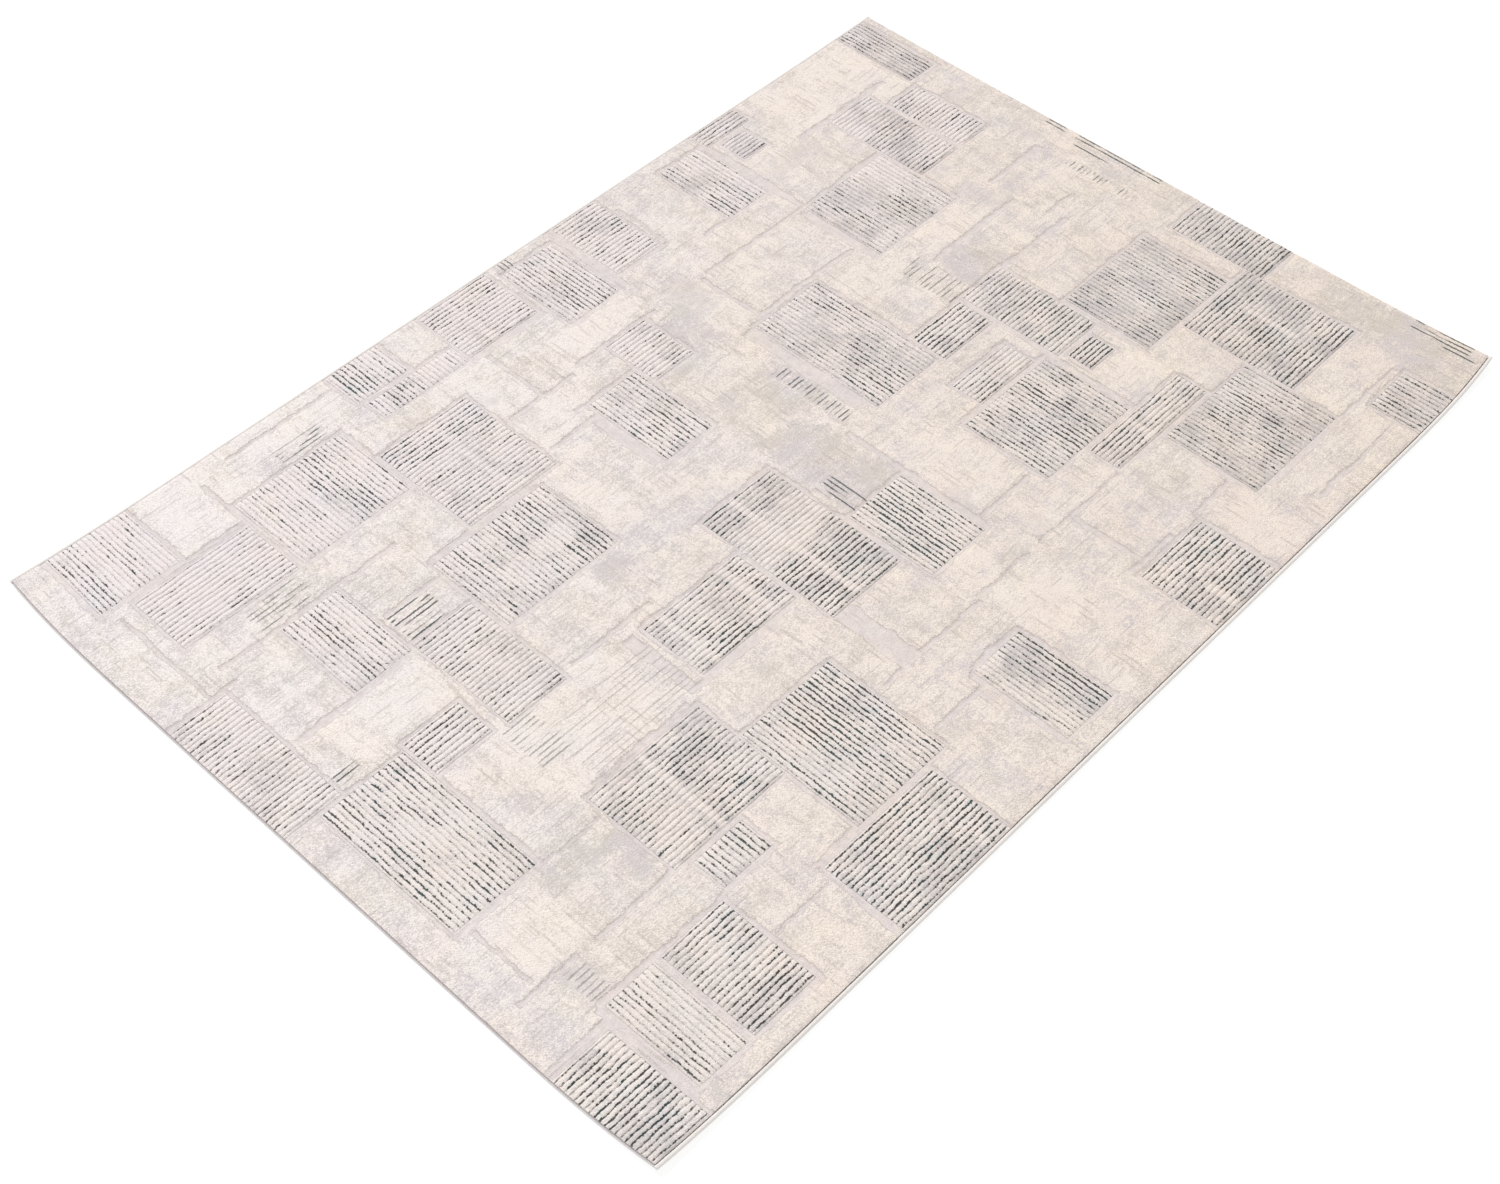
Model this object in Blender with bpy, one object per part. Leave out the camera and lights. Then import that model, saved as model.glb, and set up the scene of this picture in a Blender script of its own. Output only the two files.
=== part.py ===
"""Area rug: a machine-woven high-low pile rug, lying flat.

The rug lies face up on the floor. The origin is on the floor under its middle, X runs across the
rug, Y along it, and Z is up. It is built up as the real rug is: a rubbery backcoat, the ground
cloth, the short sunken pile, and the raised pile in a plain field with ribbed blocks let into it.
A filler cord wrapped in yarn binds each long side, and a folded hem closes each short end.
"""
import math

import bmesh
import bpy

# Overall size
RUG_WIDTH = 1.60
RUG_LENGTH = 2.27

# Layers, from the floor up
COAT_THICKNESS = 0.0010
CLOTH_THICKNESS = 0.0017
LOW_PILE_HEIGHT = 0.0032
RAISED_PILE_HEIGHT = 0.0037
SEAT_GAP = 0.0003

# Bound long sides
CORD_DIAMETER = 0.0042
OVERCAST_THICKNESS = 0.0018
ARC_STEPS = 14

# Hemmed short ends
HEM_THICKNESS = 0.0010
HEM_TOP_LIP = 0.0080
HEM_UNDER_LIP = 0.0220
STITCH_WIDTH = 0.0009
STITCH_HEIGHT = 0.0006

# Raised pile
TUFT_CHAMFER = 0.0012
BLOCK_MARGIN = 0.0040
WINDOW_OVERRUN = 0.0200

# The pattern is drawn on squared paper, one square to about a centimetre
PATTERN_COLUMNS = 160
PATTERN_ROWS = 228

# Ribbed blocks: first column from the left side, first row from the far end, columns, rows
RIBBED_BLOCKS = [
    (0, 3, 22, 8), (91.5, 0, 22, 11), (24, 11.5, 20, 8.6), (18.5, 21.4, 25.5, 11.8),
    (110, 11.3, 25.5, 21.3), (89, 16.5, 20, 26), (148.3, 14.3, 11.7, 12), (33.8, 33.9, 20.2, 23.7),
    (125.4, 33.5, 20.2, 25.5), (0, 44.5, 5.9, 12.7), (7.2, 48, 6.9, 6.6), (73.8, 44, 23.9, 12),
    (98.9, 47.2, 5.8, 7.3), (117.2, 44.5, 7, 27.1), (4.6, 58.6, 20, 12), (74.2, 57.4, 8.6, 14.1),
    (88.2, 60.5, 7.2, 15.5), (96.6, 58, 19.5, 24.6), (50.3, 72.2, 31.3, 17.9),
    (142.3, 72, 17.7, 17.6), (0, 85.8, 20.2, 11.8), (4, 100.7, 19.7, 13.3), (33, 103.4, 13.6, 10.2),
    (96.2, 100, 19.5, 14.5), (0, 116.2, 16.6, 17.3), (42.2, 114.5, 20.4, 12.6),
    (77.8, 115.8, 31.8, 17.8), (87.5, 134.8, 14.5, 23.2), (134.8, 113.8, 20, 12.4),
    (0, 143.9, 10.5, 12.7), (11.8, 134.4, 5.2, 21), (23.6, 141.5, 25, 21), (50.5, 147, 19.6, 26.4),
    (115.4, 141.2, 25.8, 21.8), (142.4, 146.5, 17.6, 26), (14, 163.8, 19.8, 24.8),
    (105.8, 163.5, 19.9, 25.5), (126.8, 175, 6.8, 11), (61.4, 174.5, 24.4, 13),
    (19.5, 190, 14.6, 24.8), (42.8, 188.5, 19.4, 12.6), (76, 190.5, 8.8, 12),
    (135, 188, 19.7, 13.6), (135, 203, 19.7, 10.5), (0, 203, 17.5, 17.5), (77.4, 203.2, 31.6, 17.8),
    (46.5, 216, 30, 12), (138.3, 216, 21.7, 12),
]

HALF_WIDTH = RUG_WIDTH / 2
HALF_LENGTH = RUG_LENGTH / 2
CLOTH_BOTTOM = COAT_THICKNESS + SEAT_GAP
CLOTH_TOP = CLOTH_BOTTOM + CLOTH_THICKNESS
LOW_PILE_BOTTOM = CLOTH_TOP + SEAT_GAP
LOW_PILE_TOP = LOW_PILE_BOTTOM + LOW_PILE_HEIGHT
RAISED_BOTTOM = LOW_PILE_TOP + SEAT_GAP
RAISED_TOP = RAISED_BOTTOM + RAISED_PILE_HEIGHT

CORD_RADIUS = CORD_DIAMETER / 2
BORE_RADIUS = CORD_RADIUS + SEAT_GAP
OVERCAST_RADIUS = BORE_RADIUS + OVERCAST_THICKNESS
CORD_X = HALF_WIDTH - OVERCAST_RADIUS
SELVEDGE_X = CORD_X - BORE_RADIUS

FIELD_X = HALF_WIDTH - 2 * OVERCAST_RADIUS - SEAT_GAP
CLOTH_END_Y = HALF_LENGTH - HEM_THICKNESS - SEAT_GAP
FIELD_Y = HALF_LENGTH - HEM_TOP_LIP - SEAT_GAP
COAT_Y = HALF_LENGTH - HEM_UNDER_LIP - SEAT_GAP


def clear_scene():
    """Start from an empty scene."""
    for thing in list(bpy.data.objects):
        bpy.data.objects.remove(thing, do_unlink=True)


def yarn(name, colour, roughness):
    """Make a plain non-metallic material in the yarn's or coating's colour."""
    material = bpy.data.materials.new(name)
    material.use_nodes = True
    shader = material.node_tree.nodes["Principled BSDF"]
    shader.inputs["Base Color"].default_value = (*colour, 1.0)
    shader.inputs["Roughness"].default_value = roughness
    shader.inputs["Metallic"].default_value = 0.0
    return material


def add_object(name, sheet, material):
    """Turn a finished bmesh into a named object with its faces pointing out."""
    bmesh.ops.recalc_face_normals(sheet, faces=sheet.faces)
    mesh = bpy.data.meshes.new(name)
    sheet.to_mesh(mesh)
    sheet.free()
    mesh.materials.append(material)
    thing = bpy.data.objects.new(name, mesh)
    bpy.context.scene.collection.objects.link(thing)
    return thing


def slab(name, x_range, y_range, z_range, material, chamfer=0.0):
    """Make a flat layer; with a chamfer its upper edges slope in, as cut tufts splay."""
    levels = [(z_range[0], 0.0), (z_range[1] - chamfer, 0.0)]
    if chamfer > 0:
        levels.append((z_range[1], chamfer))
    sheet = bmesh.new()
    rings = []
    for z, inset in levels:
        left, right = x_range[0] + inset, x_range[1] - inset
        near, far = y_range[0] + inset, y_range[1] - inset
        corners = [(left, near), (right, near), (right, far), (left, far)]
        rings.append([sheet.verts.new((x, y, z)) for x, y in corners])
    sheet.faces.new(rings[0])
    sheet.faces.new(rings[-1])
    for lower, upper in zip(rings, rings[1:]):
        for i in range(4):
            j = (i + 1) % 4
            sheet.faces.new((lower[i], lower[j], upper[j], upper[i]))
    return add_object(name, sheet, material)


def strip(name, outline, start, end, along, material):
    """Run a closed (across, up) outline from start to end along X or Y."""
    sheet = bmesh.new()
    rings = []
    for place in (start, end):
        if along == "X":
            points = [(place, across, up) for across, up in outline]
        else:
            points = [(across, place, up) for across, up in outline]
        rings.append([sheet.verts.new(point) for point in points])
    sheet.faces.new(rings[0])
    sheet.faces.new(rings[1])
    count = len(outline)
    for i in range(count):
        j = (i + 1) % count
        sheet.faces.new((rings[0][i], rings[0][j], rings[1][j], rings[1][i]))
    return add_object(name, sheet, material)


def arc(radius, start, end, steps):
    """Return points on a circle about the origin, from one angle to the other."""
    angles = [start + (end - start) * i / steps for i in range(steps + 1)]
    return [(radius * math.cos(a), radius * math.sin(a)) for a in angles]


def overcast_outline():
    """Outline of the yarn wrapping: a ring, slit on its inner side to take the selvedge.

    Its centre is at the origin and its slit on the negative side.
    """
    slit_bottom = CLOTH_BOTTOM - SEAT_GAP - OVERCAST_RADIUS
    slit_top = CLOTH_TOP + SEAT_GAP - OVERCAST_RADIUS
    slit_end = -BORE_RADIUS + SEAT_GAP
    outer_start = math.pi - math.asin(slit_top / OVERCAST_RADIUS)
    outer_end = -math.pi - math.asin(slit_bottom / OVERCAST_RADIUS)
    inner_start = -math.acos(slit_end / BORE_RADIUS)
    inner_end = math.pi - math.asin(slit_top / BORE_RADIUS)
    outline = arc(OVERCAST_RADIUS, outer_start, outer_end, ARC_STEPS)
    outline.append((slit_end, slit_bottom))
    outline += arc(BORE_RADIUS, inner_start, inner_end, ARC_STEPS)
    return outline


def make_long_side(side, sign, cord_yarn, wrap_yarn):
    """Bind one long side: the filler cord, and the yarn wrapped round it and the selvedge."""
    cord = arc(CORD_RADIUS, 0.0, 2 * math.pi, ARC_STEPS)[:-1]
    cord = [(sign * (CORD_X + x), OVERCAST_RADIUS + z) for x, z in cord]
    wrap = [(sign * (CORD_X + x), OVERCAST_RADIUS + z) for x, z in overcast_outline()]
    strip(side + "_edge_cord", cord, -HALF_LENGTH, HALF_LENGTH, "Y", cord_yarn)
    strip(side + "_edge_overcast", wrap, -HALF_LENGTH, HALF_LENGTH, "Y", wrap_yarn)


def make_short_end(end, sign, hem_cloth, hem_thread):
    """Close one short end: a folded strip round the cloth's edge, and its stitching thread."""
    lip_bottom = CLOTH_TOP + SEAT_GAP
    lip_top = lip_bottom + HEM_THICKNESS
    fold = [
        (HALF_LENGTH, 0.0),
        (HALF_LENGTH, lip_top),
        (HALF_LENGTH - HEM_TOP_LIP, lip_top),
        (HALF_LENGTH - HEM_TOP_LIP, lip_bottom),
        (HALF_LENGTH - HEM_THICKNESS, lip_bottom),
        (HALF_LENGTH - HEM_THICKNESS, COAT_THICKNESS),
        (HALF_LENGTH - HEM_UNDER_LIP, COAT_THICKNESS),
        (HALF_LENGTH - HEM_UNDER_LIP, 0.0),
    ]
    fold = [(sign * y, z) for y, z in fold]
    strip(end + "_end_hem", fold, -FIELD_X, FIELD_X, "X", hem_cloth)
    middle = HALF_LENGTH - HEM_TOP_LIP / 2
    stitch_bottom = lip_top + SEAT_GAP
    stitch_y = sorted((sign * (middle - STITCH_WIDTH / 2), sign * (middle + STITCH_WIDTH / 2)))
    slab(end + "_hem_stitch", (-FIELD_X, FIELD_X), stitch_y,
         (stitch_bottom, stitch_bottom + STITCH_HEIGHT), hem_thread)


def block_ranges(column, row, columns, rows):
    """Return a block's x and y ranges on the rug, kept inside the pile field."""
    square_x = RUG_WIDTH / PATTERN_COLUMNS
    square_y = RUG_LENGTH / PATTERN_ROWS
    left = max(column * square_x - HALF_WIDTH, -FIELD_X)
    right = min((column + columns) * square_x - HALF_WIDTH, FIELD_X)
    far = min(HALF_LENGTH - row * square_y, FIELD_Y)
    near = max(HALF_LENGTH - (row + rows) * square_y, -FIELD_Y)
    return (left, right), (near, far)


def window_range(low, high, limit):
    """Widen a block's range by its sunken margin, and run it out where it meets the field's edge."""
    start = low - BLOCK_MARGIN
    end = high + BLOCK_MARGIN
    if start < -limit + BLOCK_MARGIN:
        start = -limit - WINDOW_OVERRUN
    if end > limit - BLOCK_MARGIN:
        end = limit + WINDOW_OVERRUN
    return start, end


def make_plain_pile(blocks, material):
    """Make the raised plain field, with an open window for each ribbed block and its margin."""
    field = slab("plain_pile", (-FIELD_X, FIELD_X), (-FIELD_Y, FIELD_Y),
                 (RAISED_BOTTOM, RAISED_TOP), material)
    windows = bpy.data.collections.new("windows")
    bpy.context.scene.collection.children.link(windows)
    for number, (x_range, y_range) in enumerate(blocks, start=1):
        window = slab(f"window_{number:02d}", window_range(*x_range, FIELD_X),
                      window_range(*y_range, FIELD_Y),
                      (RAISED_BOTTOM - WINDOW_OVERRUN, RAISED_TOP + WINDOW_OVERRUN), material)
        bpy.context.scene.collection.objects.unlink(window)
        windows.objects.link(window)
        window.hide_render = True
        window.display_type = "WIRE"
    cut = field.modifiers.new("windows", "BOOLEAN")
    cut.operation = "DIFFERENCE"
    cut.solver = "EXACT"
    cut.operand_type = "COLLECTION"
    cut.collection = windows


def build_rug():
    """Lay the rug up from the floor, then bind its sides and close its ends."""
    latex = yarn("latex", (0.62, 0.58, 0.50), 0.75)
    ground = yarn("ground_weave", (0.58, 0.50, 0.38), 0.90)
    sunken = yarn("sunken_pile_yarn", (0.66, 0.62, 0.65), 0.92)
    cream = yarn("plain_pile_yarn", (0.80, 0.73, 0.65), 0.90)
    ribbed = yarn("ribbed_pile_yarn", (0.50, 0.52, 0.52), 0.90)
    filler = yarn("filler_cord", (0.74, 0.70, 0.62), 0.90)
    wrap = yarn("overcast_yarn", (0.82, 0.77, 0.74), 0.80)
    hem_cloth = yarn("hem_cloth", (0.72, 0.68, 0.68), 0.85)
    hem_thread = yarn("hem_thread", (0.84, 0.80, 0.77), 0.70)

    slab("latex_backcoat", (-FIELD_X, FIELD_X), (-COAT_Y, COAT_Y), (0.0, COAT_THICKNESS), latex)
    slab("ground_cloth", (-SELVEDGE_X, SELVEDGE_X), (-CLOTH_END_Y, CLOTH_END_Y),
         (CLOTH_BOTTOM, CLOTH_TOP), ground)
    slab("low_pile", (-FIELD_X, FIELD_X), (-FIELD_Y, FIELD_Y), (LOW_PILE_BOTTOM, LOW_PILE_TOP),
         sunken)

    blocks = [block_ranges(*block) for block in RIBBED_BLOCKS]
    make_plain_pile(blocks, cream)
    for number, (x_range, y_range) in enumerate(blocks, start=1):
        slab(f"ribbed_block_{number:02d}", x_range, y_range, (RAISED_BOTTOM, RAISED_TOP), ribbed,
             TUFT_CHAMFER)

    for side, sign in (("left", -1), ("right", 1)):
        make_long_side(side, sign, filler, wrap)
    for end, sign in (("near", -1), ("far", 1)):
        make_short_end(end, sign, hem_cloth, hem_thread)


clear_scene()
build_rug()
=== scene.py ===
import math

import bpy
import numpy as np
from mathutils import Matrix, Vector


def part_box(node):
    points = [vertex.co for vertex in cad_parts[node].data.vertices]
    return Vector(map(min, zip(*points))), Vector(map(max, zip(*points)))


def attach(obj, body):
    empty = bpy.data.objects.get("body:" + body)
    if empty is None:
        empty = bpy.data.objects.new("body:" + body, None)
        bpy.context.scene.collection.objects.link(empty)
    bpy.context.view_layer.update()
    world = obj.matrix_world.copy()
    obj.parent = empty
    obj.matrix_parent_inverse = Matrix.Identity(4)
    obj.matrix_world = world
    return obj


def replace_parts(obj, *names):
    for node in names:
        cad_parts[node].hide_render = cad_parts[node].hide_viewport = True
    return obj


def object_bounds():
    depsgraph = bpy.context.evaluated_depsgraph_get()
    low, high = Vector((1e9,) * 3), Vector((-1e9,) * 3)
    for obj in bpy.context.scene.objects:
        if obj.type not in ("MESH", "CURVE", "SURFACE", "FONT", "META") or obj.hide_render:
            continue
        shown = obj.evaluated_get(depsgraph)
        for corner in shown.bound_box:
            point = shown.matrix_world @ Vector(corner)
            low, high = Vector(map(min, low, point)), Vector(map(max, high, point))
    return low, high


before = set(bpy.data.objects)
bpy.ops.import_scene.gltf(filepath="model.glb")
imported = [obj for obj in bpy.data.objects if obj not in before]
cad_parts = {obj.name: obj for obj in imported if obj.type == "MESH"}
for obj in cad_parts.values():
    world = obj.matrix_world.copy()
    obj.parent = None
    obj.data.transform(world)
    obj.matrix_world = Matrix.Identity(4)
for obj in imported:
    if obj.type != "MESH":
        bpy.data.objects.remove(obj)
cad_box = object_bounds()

# --- Latex backing ---
# A thin coat of latex scraped over the back of the weave, so the warp and weft still show
# through it as a fine grid. It holds the tufts in and grips the floor.


def node_box(node):
    """The low and high corners of a CAD node."""
    return [Vector(corner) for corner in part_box(node)]


LAYERS = {node: node_box(node) for node in ("latex_backcoat", "ground_cloth", "low_pile", "plain_pile")}
RUG_LOW, RUG_HIGH = (Vector(corner) for corner in cad_box)
RUG_WIDTH = RUG_HIGH.x - RUG_LOW.x
RUG_LENGTH = RUG_HIGH.y - RUG_LOW.y

# Each corner that has lifted in use: its place, how high it stands, and how far it is drawn in.
CURL_REACH = 0.34
CURLED_CORNERS = [
    ((RUG_LOW.x, RUG_LOW.y), 0.0092, (0.000, 0.012)),
    ((RUG_HIGH.x, RUG_LOW.y), 0.0092, (-0.005, 0.011)),
    ((RUG_HIGH.x, RUG_HIGH.y), 0.0092, (-0.014, 0.000)),
    ((RUG_LOW.x, RUG_HIGH.y), 0.0030, (0.000, 0.000)),
]


def curl(points):
    """Lift and draw in the corners of the whole rug, every layer by the same amount."""
    moved = points.copy()
    for (x, y), lift, (pull_x, pull_y) in CURLED_CORNERS:
        distance = np.hypot(points[:, 0] - x, points[:, 1] - y)
        nearness = np.clip(1 - distance / CURL_REACH, 0, 1)
        moved[:, 0] += pull_x * nearness ** 3
        moved[:, 1] += pull_y * nearness ** 3
        moved[:, 2] += lift * nearness ** 2
    return moved


LATTICE = 97


def hills(x, y, size, seed):
    """Smooth random hills about `size` metres across, from 0 to 1, the same on every run."""
    lattice = np.random.default_rng(seed).random((LATTICE, LATTICE))
    column, row = np.asarray(x) / size + 40, np.asarray(y) / size + 40
    left, low = np.floor(column).astype(int), np.floor(row).astype(int)
    across, up = column - left, row - low
    across, up = across ** 2 * (3 - 2 * across), up ** 2 * (3 - 2 * up)
    left, low = left % LATTICE, low % LATTICE
    right, high = (left + 1) % LATTICE, (low + 1) % LATTICE
    lower = lattice[low, left] * (1 - across) + lattice[low, right] * across
    upper = lattice[high, left] * (1 - across) + lattice[high, right] * across
    return lower * (1 - up) + upper * up


def ease(value, low, high):
    """Rise smoothly from 0 at low to 1 at high."""
    share = np.clip((value - low) / (high - low), 0, 1)
    return share * share * (3 - 2 * share)


def put_in_scene(name, data):
    """Make an object of a mesh, a light or a camera, and put it in the scene."""
    thing = bpy.data.objects.new(name, data)
    bpy.context.scene.collection.objects.link(thing)
    return thing


SHARP_ANGLE = math.radians(52)


def make_piece(name, points, polygons, corners, material, marks=()):
    """Make one mesh piece, curled with the rug, that rides on it.

    polygons are arrays of point numbers, corners their places on the flat of the piece's own map,
    and marks are values at each point that the material reads.
    """
    flat = [np.asarray(group).reshape(-1) for group in polygons]
    sizes = np.concatenate([np.full(len(group), group.shape[1]) if group.ndim == 2 else [len(group)]
                            for group in map(np.asarray, polygons)])
    mesh = bpy.data.meshes.new(name)
    mesh.vertices.add(len(points))
    mesh.vertices.foreach_set("co", curl(points).astype(np.float32).ravel())
    mesh.loops.add(int(sizes.sum()))
    mesh.loops.foreach_set("vertex_index", np.concatenate(flat).astype(np.int32))
    mesh.polygons.add(len(sizes))
    mesh.polygons.foreach_set("loop_start", (np.cumsum(sizes) - sizes).astype(np.int32))
    mesh.polygons.foreach_set("use_smooth", np.ones(len(sizes), dtype=bool))
    mesh.update(calc_edges=True)
    mesh.set_sharp_from_angle(angle=SHARP_ANGLE)
    flat_map = mesh.uv_layers.new(name="OFBake")
    flat_map.data.foreach_set("uv", np.concatenate(corners).astype(np.float32).ravel())
    plan = mesh.attributes.new("plan", "FLOAT_VECTOR", "POINT")
    plan.data.foreach_set("vector", points.astype(np.float32).ravel())
    for mark, values in dict(marks).items():
        layer = mesh.attributes.new(mark, "FLOAT", "POINT")
        layer.data.foreach_set("value", np.asarray(values, dtype=np.float32).ravel())
    mesh.materials.append(material)
    piece = put_in_scene(name, mesh)
    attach(piece, "root")
    return piece


def cuts(low, high, edges, step):
    """Give the lines of a grid from low to high that hold every edge and are never over a step apart,
    and the numbers of the lines that are edges."""
    inside = sorted({round(edge, 6) for edge in edges if low + 1e-5 < edge < high - 1e-5})
    stops = [low, *inside, high]
    lines, held = [low], [0]
    for start, end in zip(stops, stops[1:]):
        count = max(1, math.ceil((end - start) / step - 1e-6))
        lines.extend(start + (end - start) * n / count for n in range(1, count + 1))
        held.append(len(lines) - 1)
    return np.array(lines), held


# Bands of a layer's own map: its top, its underside and its walls, each clear of the next.
TOP_OF_MAP = 0.94
UNDERSIDE_ON_MAP, UNDERSIDE_DEPTH = 0.945, 0.035
WALLS_ON_MAP = (0.985, 0.998)


def lay_layer(name, columns, rows, bottom, top, material, windows=(), shift=None, marks=None):
    """Make one closed layer of cloth or pile over a grid, with rectangular windows left open.

    columns and rows are the lines from cuts(). top gives the height at each point, shift how far the
    point moves across the layer, and marks the values that the material reads.
    """
    (xs, held_x), (ys, held_y) = columns, rows
    grid_x, grid_y = np.meshgrid(xs, ys, indexing="ij")
    middle_x, middle_y = (xs[1:] + xs[:-1]) / 2, (ys[1:] + ys[:-1]) / 2
    kept = np.ones((len(middle_x), len(middle_y)), dtype=bool)
    for (x0, x1), (y0, y1) in windows:
        inside_x, inside_y = (middle_x > x0) & (middle_x < x1), (middle_y > y0) & (middle_y < y1)
        kept &= ~(inside_x[:, None] & inside_y[None, :])
    padded = np.pad(kept, 1)
    used = padded[1:, 1:] | padded[:-1, 1:] | padded[1:, :-1] | padded[:-1, :-1]
    on_edge = np.zeros_like(used)
    on_edge[held_x, :] = True
    on_edge[:, held_y] = True
    top_number = np.cumsum(used.ravel()).reshape(used.shape) - 1
    below = used & on_edge
    low_number = np.cumsum(below.ravel()).reshape(used.shape) - 1 + used.sum()

    width, length = xs[-1] - xs[0], ys[-1] - ys[0]
    on_map_x, on_map_y = (grid_x - xs[0]) / width, (grid_y - ys[0]) / length
    shift_x, shift_y = shift(grid_x, grid_y) if shift else (0 * grid_x, 0 * grid_y)
    upper = np.stack([grid_x + shift_x, grid_y + shift_y, top(grid_x, grid_y)], axis=-1)
    lower = np.stack([grid_x, grid_y, np.full_like(grid_x, bottom)], axis=-1)
    points = np.concatenate([upper[used], lower[below]])

    def around(numbers):
        return np.stack([numbers[:-1, :-1], numbers[1:, :-1], numbers[1:, 1:], numbers[:-1, 1:]], axis=-1)

    polygons = [around(top_number)[kept]]
    face_map = np.stack([around(on_map_x), around(on_map_y) * TOP_OF_MAP], axis=-1)[kept]
    corners = [face_map.reshape(-1, 2)]
    # The walls round the outside and round each window, then the flat underside.
    for axis in (0, 1):
        for side in (1, -1):
            here, beyond = padded[1:-1, 1:-1], np.roll(padded, -side, axis=axis)[1:-1, 1:-1]
            i, j = np.nonzero(here & ~beyond)
            far = 1 if side > 0 else 0
            if axis == 0:
                start, end = (i + far, j), (i + far, j + 1)
            else:
                start, end = (i + 1, j + far), (i, j + far)
            if side < 0:
                start, end = end, start
            polygons.append(np.stack([top_number[start], low_number[start], low_number[end],
                                      top_number[end]], axis=-1))
            along = on_map_y if axis == 0 else on_map_x
            wall_map = [(start, 0), (start, 1), (end, 1), (end, 0)]
            corners.append(np.stack([np.stack([along[spot], np.full(len(i), WALLS_ON_MAP[edge])], axis=-1)
                                     for spot, edge in wall_map], axis=1).reshape(-1, 2))
    for a, b in zip(held_x, held_x[1:]):
        for c, d in zip(held_y, held_y[1:]):
            if not kept[a, c]:
                continue
            ring = [(a, j) for j in range(c, d)] + [(i, d) for i in range(a, b)]
            ring += [(b, j) for j in range(d, c, -1)] + [(i, c) for i in range(b, a, -1)]
            i, j = np.array(ring).T
            polygons.append(low_number[i, j])
            underside_y = UNDERSIDE_ON_MAP + UNDERSIDE_DEPTH * on_map_y[i, j]
            corners.append(np.stack([on_map_x[i, j], underside_y], axis=-1))
    values = {}
    for mark, field in (marks(grid_x, grid_y) if marks else {}).items():
        values[mark] = np.concatenate([field[used], field[below]])
    return make_piece(name, points, polygons, corners, material, values)


class Thread:
    """A value in a material. Sums on it add the nodes that work them out."""

    def __init__(self, tree, socket=None):
        self.tree, self.socket = tree, socket

    def node(self, kind, settings=(), values=(), output=0):
        """Add a node with its settings and the values or links of its sockets, and read one output."""
        made = self.tree.nodes.new(kind)
        for name, value in dict(settings).items():
            setattr(made, name, value)
        for name, value in dict(values).items():
            if isinstance(value, Thread):
                self.tree.links.new(value.socket, made.inputs[name])
            else:
                made.inputs[name].default_value = value
        return Thread(self.tree, made.outputs[output])

    def sum(self, operation, *numbers):
        """Work out one Math operation, on the numbers given or on this value alone."""
        return self.node("ShaderNodeMath", {"operation": operation}, dict(enumerate(numbers or (self,))))

    def vector(self, operation, values):
        """Work out one Vector Math operation."""
        return self.node("ShaderNodeVectorMath", {"operation": operation}, values)

    def __add__(self, other):
        return self.sum("ADD", self, other)

    def __sub__(self, other):
        return self.sum("SUBTRACT", self, other)

    def __rsub__(self, other):
        return self.sum("SUBTRACT", other, self)

    def __mul__(self, other):
        return self.sum("MULTIPLY", self, other)

    __radd__, __rmul__ = __add__, __mul__

    def ways(self):
        """This place's two measures in the plan: across the rug and along it."""
        across = self.node("ShaderNodeSeparateXYZ", (), {0: self})
        return across, Thread(self.tree, across.socket.node.outputs[1])

    def mark(self, name):
        """Read a value that the mesh carries."""
        return self.node("ShaderNodeAttribute", {"attribute_name": name}, output=2)

    def step(self, low, high):
        """Rise smoothly from 0 at low to 1 at high."""
        settings = {"interpolation_type": "SMOOTHSTEP"}
        return self.node("ShaderNodeMapRange", settings, {0: self, 1: low, 2: high})

    def mixed(self, first, second):
        """Mix two colours by this value."""
        return self.node("ShaderNodeMix", {"data_type": "RGBA"}, {0: self, 6: first, 7: second}, 2)

    def stretched(self, across, along, deep=1.0):
        """Scale a place on the rug, so that a pattern read there runs in one direction."""
        return self.vector("MULTIPLY", {0: self, 1: (across, along, deep)})

    def grain(self, per_metre, detail=2.0, roughness=0.5):
        """Random cloudiness at this place."""
        values = {"Vector": self, "Scale": per_metre, "Detail": detail, "Roughness": roughness}
        return self.node("ShaderNodeTexNoise", {"noise_dimensions": "3D"}, values)


def yarn(red, green, blue):
    """A colour as a dyer's swatch gives it, from 0 to 255, in linear light."""
    shares = (value / 255 for value in (red, green, blue))
    return (*(share / 12.92 if share <= 0.04045 else ((share + 0.055) / 1.055) ** 2.4
              for share in shares), 1.0)


def new_material(name, roughness, sheen, specular):
    """Start a cloth-like material, and give its surface and a thread to build on."""
    material = bpy.data.materials.new(name)
    material.use_nodes = True
    surface = material.node_tree.nodes["Principled BSDF"]
    surface.inputs["Roughness"].default_value = roughness
    surface.inputs["Sheen Weight"].default_value = sheen
    surface.inputs["Sheen Roughness"].default_value = 0.6
    surface.inputs["Specular IOR Level"].default_value = specular
    tree = material.node_tree
    place = Thread(tree).node("ShaderNodeAttribute", {"attribute_name": "plan"}, output=1)
    return material, surface, place


def finish_material(surface, colour, relief, depth, roughness=None):
    """Link the colour and the relief, in metres of depth, to the surface."""
    links = colour.tree.links
    links.new(colour.socket, surface.inputs["Base Color"])
    bump = relief.node("ShaderNodeBump", (), {"Strength": 1.0, "Distance": depth, "Height": relief})
    links.new(bump.socket, surface.inputs["Normal"])
    if roughness is not None:
        links.new(roughness.socket, surface.inputs["Roughness"])


def weave_grid(place, across_pitch, along_pitch):
    """The over-and-under of a plain weave, from 0 to 1, for two thread pitches in metres."""
    x, y = place.ways()
    over = (x * (math.pi / across_pitch)).sum("SINE")
    under = (y * (math.pi / along_pitch)).sum("SINE")
    return over * under * 0.5 + 0.5


CLOSEST_SEAM = 0.1


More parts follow.
